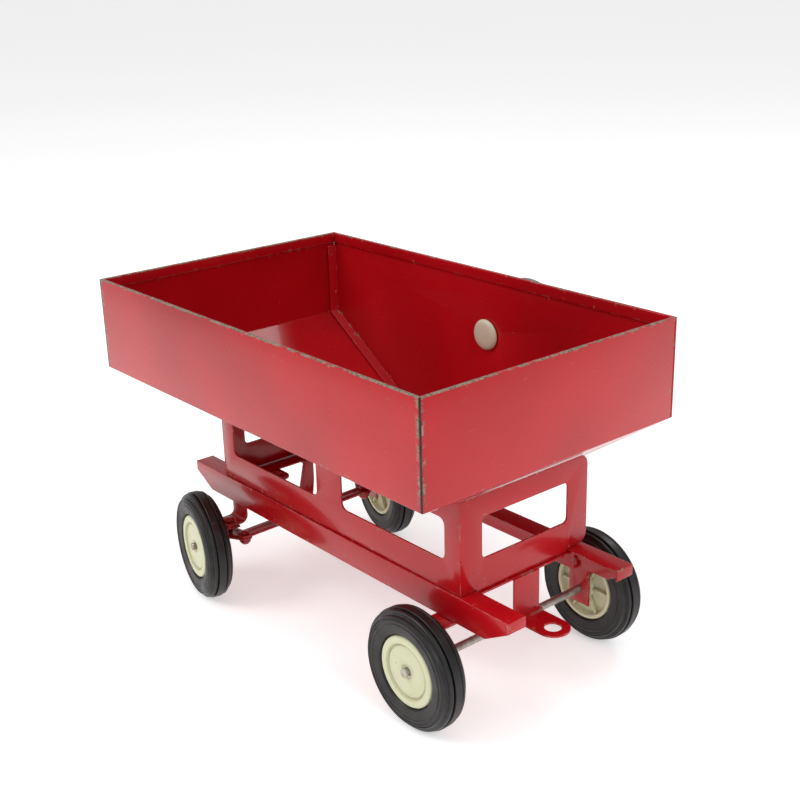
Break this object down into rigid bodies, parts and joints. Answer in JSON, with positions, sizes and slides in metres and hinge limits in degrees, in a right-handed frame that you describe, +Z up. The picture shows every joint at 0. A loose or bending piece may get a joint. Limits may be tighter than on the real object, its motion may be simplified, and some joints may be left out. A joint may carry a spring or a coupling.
{
  "type": "gravity wagon",
  "caption": "Pressed-steel toy gravity wagon: open side-discharge hopper on a windowed pedestal, steered front wheels, rear hitch tab and a hand wheel that lifts the door.",
  "frame": {"origin": "on the ground, under the centre of the whole bounding box", "axes": "+X to the hitch-tab end, +Y to the discharge side with the hand wheel, +Z up"},
  "size_m": [0.224, 0.1604, 0.1421],
  "materials": {
    "hopper_enamel": "gloss red enamel on sheet steel, chipped and rubbed along the rim and the corner seams",
    "frame_enamel": "gloss red enamel on pressed strip, rubbed bare at the rail ends",
    "tyre_rubber": "moulded black rubber with raised tread steps and a dusty sheen",
    "cream_plastic": "moulded cream plastic, slightly yellowed",
    "bare_steel": "dull plain steel wire, lightly tarnished",
    "grey_metal": "satin grey moulding"
  },
  "bodies": {
    "wagon_body": {"discharge_chute": "hopper_enamel", "door_guide_front": "hopper_enamel", "door_guide_rear": "hopper_enamel", "drawbar_bracket": "frame_enamel", "far_rail": "frame_enamel", "front_cross_plate": "frame_enamel", "front_hanger_far": "frame_enamel", "front_hanger_near": "frame_enamel", "gusset_rivet_far": "frame_enamel", "gusset_rivet_near": "frame_enamel", "hopper_far_side": "hopper_enamel", "hopper_front_end": "hopper_enamel", "hopper_near_side": "hopper_enamel", "hopper_rear_end": "hopper_enamel", "kingpin_far": "frame_enamel", "kingpin_near": "frame_enamel", "near_rail": "frame_enamel", "pedestal": "frame_enamel", "rear_axle": "bare_steel", "rear_cross_plate": "frame_enamel", "rear_hanger_far": "frame_enamel", "rear_hanger_near": "frame_enamel", "shaft_bracket": "hopper_enamel"},
    "discharge_door": {"discharge_door": "hopper_enamel", "door_rack": "bare_steel"},
    "hand_wheel": {"hand_wheel": "grey_metal", "hand_wheel_shaft": "bare_steel", "pinion": "bare_steel", "shaft_cap": "cream_plastic"},
    "near_knuckle": {"knuckle_near": "frame_enamel", "steering_arm_near": "frame_enamel", "stub_axle_near": "bare_steel"},
    "far_knuckle": {"knuckle_far": "frame_enamel", "steering_arm_far": "frame_enamel", "stub_axle_far": "bare_steel"},
    "tie_rod": {"tie_rod": "frame_enamel", "tie_pin_near": "frame_enamel", "tie_pin_far": "frame_enamel"},
    "rear_near_wheel": {"tyre_rear_near": "tyre_rubber", "hub_rear_near": "cream_plastic"},
    "rear_far_wheel": {"tyre_rear_far": "tyre_rubber", "hub_rear_far": "cream_plastic"},
    "front_near_wheel": {"tyre_front_near": "tyre_rubber", "hub_front_near": "cream_plastic"},
    "front_far_wheel": {"tyre_front_far": "tyre_rubber", "hub_front_far": "cream_plastic"}
  },
  "joints": [
    {"name": "rear_near_spin", "type": "hinge", "parent": "wagon_body", "child": "rear_near_wheel", "pos_m": [0.07825, -0.0636, 0.0244], "axis": [0, 1, 0], "continuous": true},
    {"name": "rear_far_spin", "type": "hinge", "parent": "wagon_body", "child": "rear_far_wheel", "pos_m": [0.07825, 0.0338, 0.0244], "axis": [0, 1, 0], "continuous": true},
    {"name": "near_steer", "type": "hinge", "parent": "wagon_body", "child": "near_knuckle", "pos_m": [-0.0625, -0.0539, 0.0244], "axis": [0, 0, 1], "range_deg": [-10, 34]},
    {"name": "far_steer", "type": "hinge", "parent": "wagon_body", "child": "far_knuckle", "pos_m": [-0.0625, 0.0241, 0.0244], "axis": [0, 0, 1], "range_deg": [-10, 34]},
    {"name": "tie_rod_pivot", "type": "hinge", "parent": "near_knuckle", "child": "tie_rod", "pos_m": [-0.05287, -0.05186, 0.0285], "axis": [0, 0, 1], "range_deg": [-37.86, 11.21]},
    {"name": "front_near_spin", "type": "hinge", "parent": "near_knuckle", "child": "front_near_wheel", "pos_m": [-0.0651, -0.06613, 0.0244], "axis": [0.2079, 0.9781, 0], "continuous": true},
    {"name": "front_far_spin", "type": "hinge", "parent": "far_knuckle", "child": "front_far_wheel", "pos_m": [-0.0599, 0.03633, 0.0244], "axis": [0.2079, 0.9781, 0], "continuous": true},
    {"name": "hand_wheel_turn", "type": "hinge", "parent": "wagon_body", "child": "hand_wheel", "pos_m": [-0.0009, 0.0772, 0.11245], "axis": [0, -1, 0], "range_deg": [0, 214.81]},
    {"name": "door_slide", "type": "slide", "parent": "wagon_body", "child": "discharge_door", "axis": [0, 0, 1], "range_m": [0, 0.018]}
  ],
  "couplings": [
    {"joint": "far_steer", "follows": "near_steer", "ratio": 1},
    {"joint": "tie_rod_pivot", "follows": "near_steer", "ratio": -1.1105},
    {"joint": "door_slide", "follows": "hand_wheel_turn", "m_per_rad": 0.0048}
  ]
}
